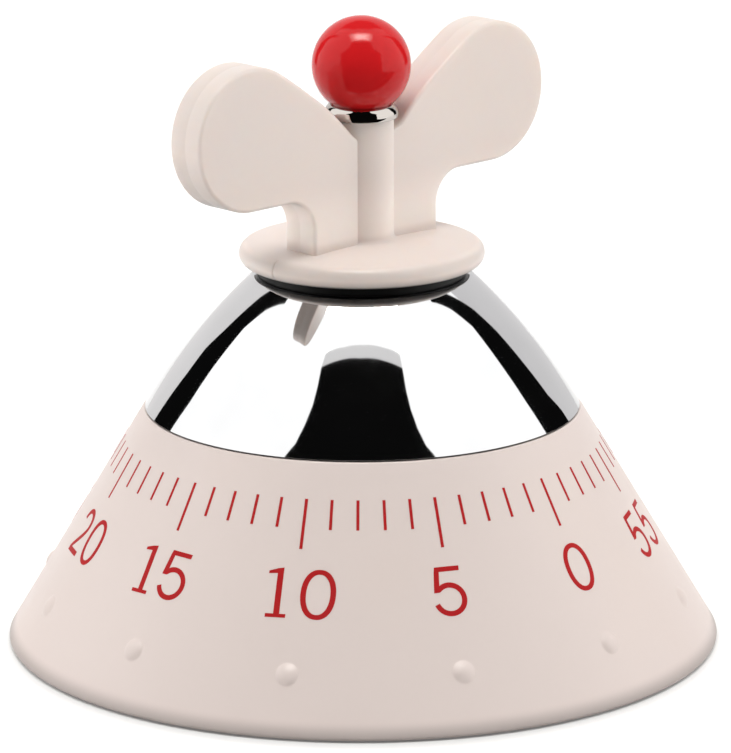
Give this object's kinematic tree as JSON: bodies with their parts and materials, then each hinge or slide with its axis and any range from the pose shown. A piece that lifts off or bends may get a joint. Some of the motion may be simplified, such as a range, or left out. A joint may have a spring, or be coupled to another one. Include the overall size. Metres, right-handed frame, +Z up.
{
  "type": "kitchen timer",
  "caption": "Mechanical kitchen timer with a conical numbered dial skirt, mirror dome and two-winged turning handle with a ball finial; turn to set, it runs down and rings.",
  "frame": {"origin": "centre of the base, on the table", "axes": "+Z up along the knob's axis; the handle's wings lie along X at rest; the dial's zero faces -Y"},
  "size_m": [0.1104, 0.1104, 0.0976],
  "materials": {
    "cream_plastic": "moulded, satin",
    "chrome": "mirror polished",
    "red_gloss": "high gloss",
    "black_rubber": "matt",
    "base_plastic": "fine texture",
    "steel": "turned or rolled",
    "spring_steel": "blued",
    "brass": "stamped",
    "bell_steel": "nickel plated"
  },
  "bodies": {
    "case": {"dial_skirt": "cream_plastic", "base_plate": "base_plastic", "foot_ring": "black_rubber", "base_screws": "steel", "movement_posts": "brass", "movement_screws": "steel", "lower_plate": "brass", "upper_plate": "brass", "plate_pillars": "brass", "plate_screws": "steel", "stop_post": "steel", "bell": "bell_steel", "bell_post": "steel", "bell_screw": "steel", "hammer_spring": "spring_steel", "spring_post": "steel", "mainspring": "spring_steel"},
    "knob": {"wing_handle": "cream_plastic", "collar_ring": "chrome", "ball_finial": "red_gloss", "finial_stud": "steel", "gasket_ring": "black_rubber", "dome": "chrome", "drive_flange": "steel", "main_arbor": "steel", "main_wheel": "brass", "trip_cam": "brass", "arbor_clip": "spring_steel", "clutch_washer": "spring_steel", "stop_pin": "steel", "spring_hub": "brass"},
    "second_gear": {"second_arbor": "steel", "second_wheel": "brass"},
    "third_gear": {"third_arbor": "steel", "third_wheel": "brass"},
    "escape": {"escape_arbor": "steel", "escape_wheel": "brass"},
    "pallet": {"pallet_arbor": "steel", "pallet_lever": "brass", "pallet_pins": "steel"},
    "hammer": {"hammer_arbor": "steel", "hammer_arm": "brass", "hammer_head": "bell_steel", "trip_feeler": "brass"}
  },
  "joints": [
    {"name": "knob_turn", "type": "hinge", "parent": "case", "child": "knob", "pos_m": [0, 0, 0.045], "axis": [0, 0, -1], "range_deg": [0, 350]},
    {"name": "second_spin", "type": "hinge", "parent": "case", "child": "second_gear", "pos_m": [0, 0.0216, 0.02], "axis": [0, 0, -1], "range_deg": [-1751, 1]},
    {"name": "third_spin", "type": "hinge", "parent": "case", "child": "third_gear", "pos_m": [0.0141, 0.01647, 0.02], "axis": [0, 0, -1], "range_deg": [-2, 7002]},
    {"name": "escape_spin", "type": "hinge", "parent": "case", "child": "escape", "pos_m": [0.01935, 0.00738, 0.02], "axis": [0, 0, -1], "range_deg": [-28008, 8]},
    {"name": "pallet_rock", "type": "hinge", "parent": "case", "child": "pallet", "pos_m": [0.02679, 0.00308, 0.02], "axis": [0, 0, 1], "range_deg": [-5, 5]},
    {"name": "hammer_swing", "type": "hinge", "parent": "case", "child": "hammer", "pos_m": [-0.02255, -0.00821, 0.01], "axis": [0, 0, 1], "range_deg": [-2, 5], "stiffness_Nm_per_rad": 0.002}
  ],
  "couplings": [
    {"joint": "second_spin", "follows": "knob_turn", "ratio": -5},
    {"joint": "third_spin", "follows": "knob_turn", "ratio": 20},
    {"joint": "escape_spin", "follows": "knob_turn", "ratio": -80}
  ]
}
